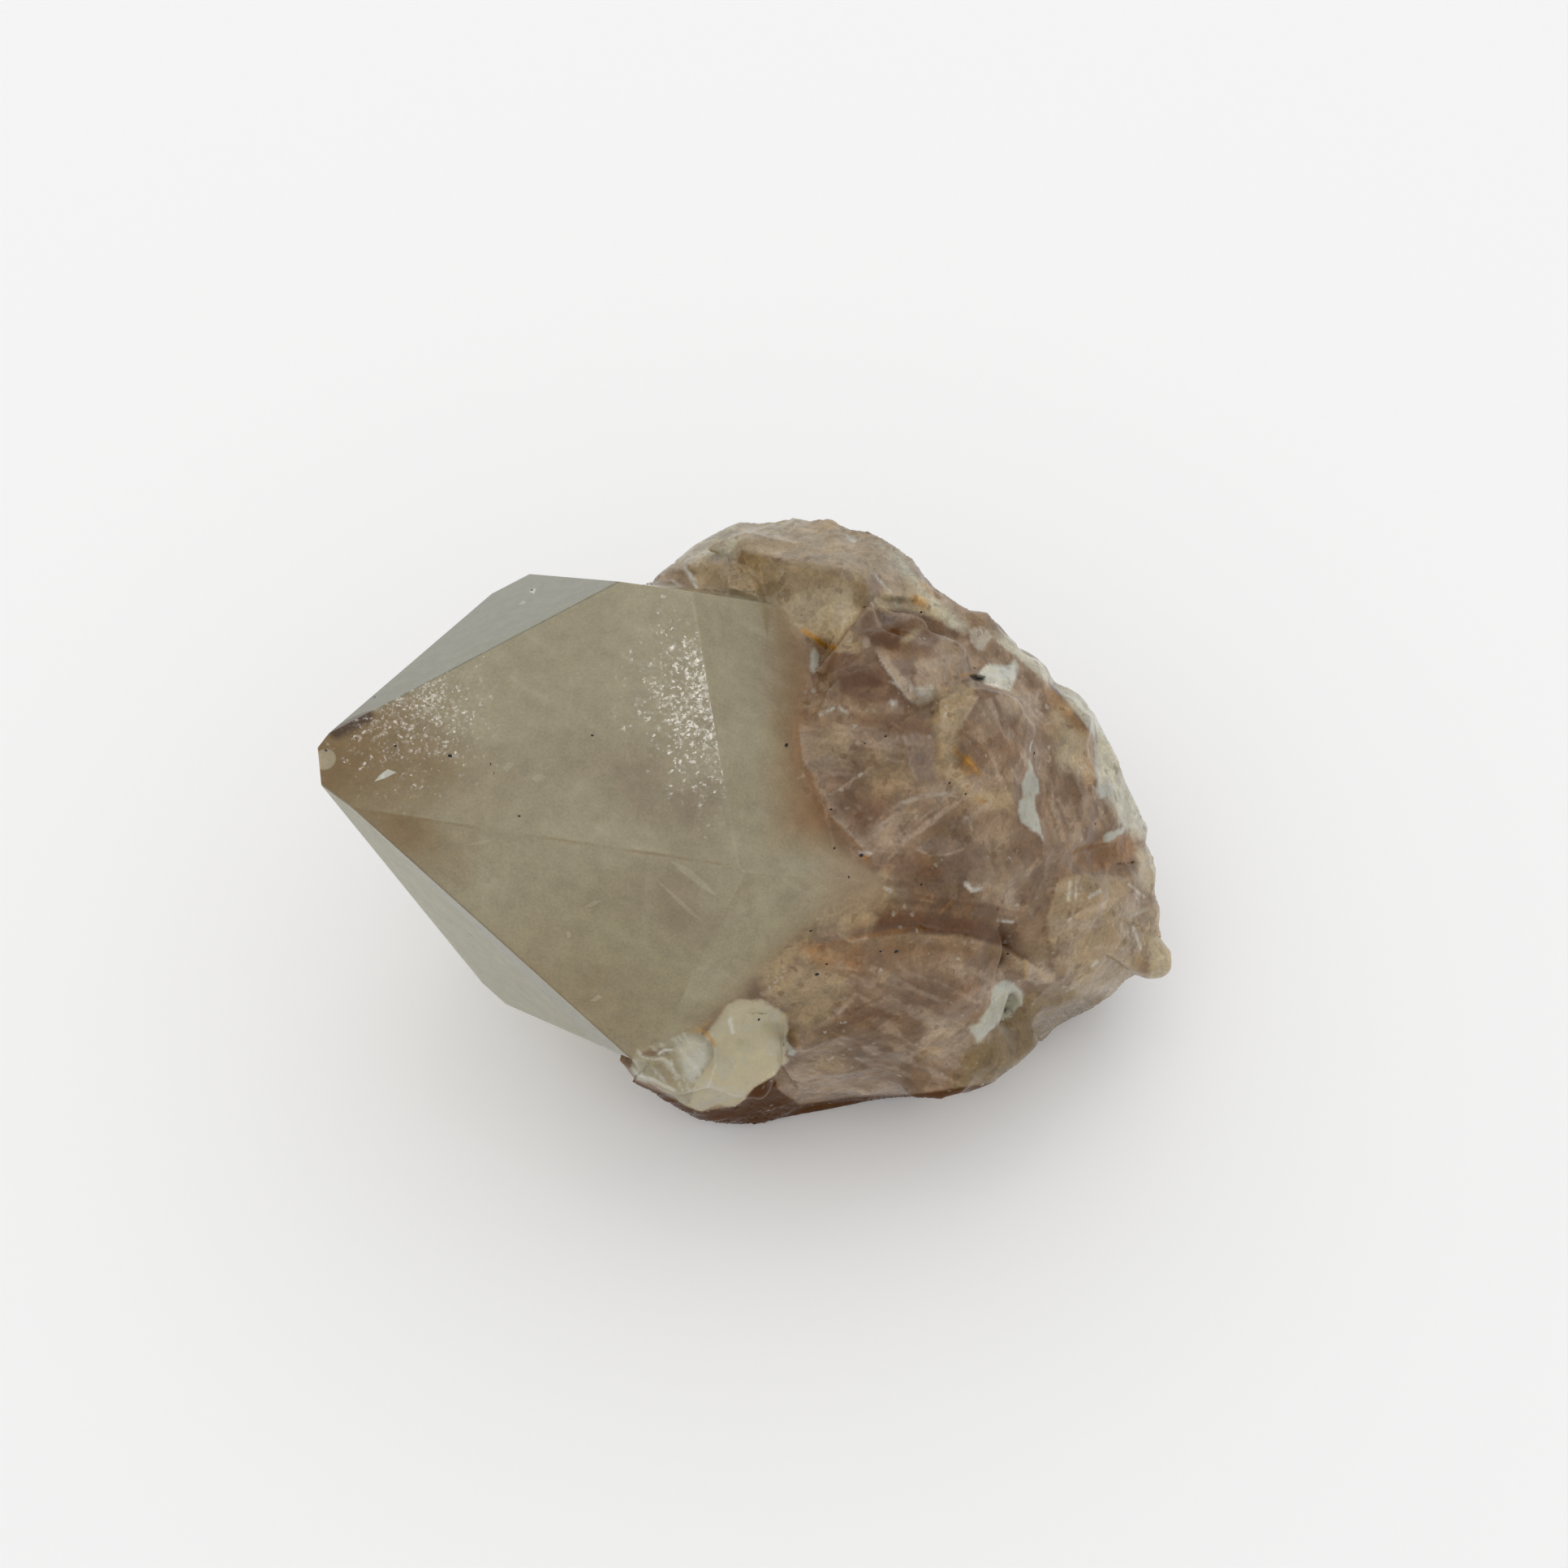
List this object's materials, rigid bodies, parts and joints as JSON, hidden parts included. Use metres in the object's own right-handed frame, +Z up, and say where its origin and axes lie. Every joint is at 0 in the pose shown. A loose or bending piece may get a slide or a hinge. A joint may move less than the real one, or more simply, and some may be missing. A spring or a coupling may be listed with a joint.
{
  "type": "quartz crystal cluster",
  "caption": "Stout quartz point grown together with smaller crystals on a lumpy, broken base; it rests on the flat break under the base.",
  "frame": {"origin": "bottom centre of the bounding box: on the surface that the specimen rests on, under its middle", "axes": "+Z up; the long point leans up towards -X; -Y is the display side"},
  "size_m": [0.0798, 0.0574, 0.0517],
  "materials": {
    "quartz": "hazy olive-beige quartz with satin crystal faces; brownish purple, iron-stained and glossy on its broken base"
  },
  "bodies": {
    "root": {"citrine_cluster": "quartz"}
  },
  "joints": []
}
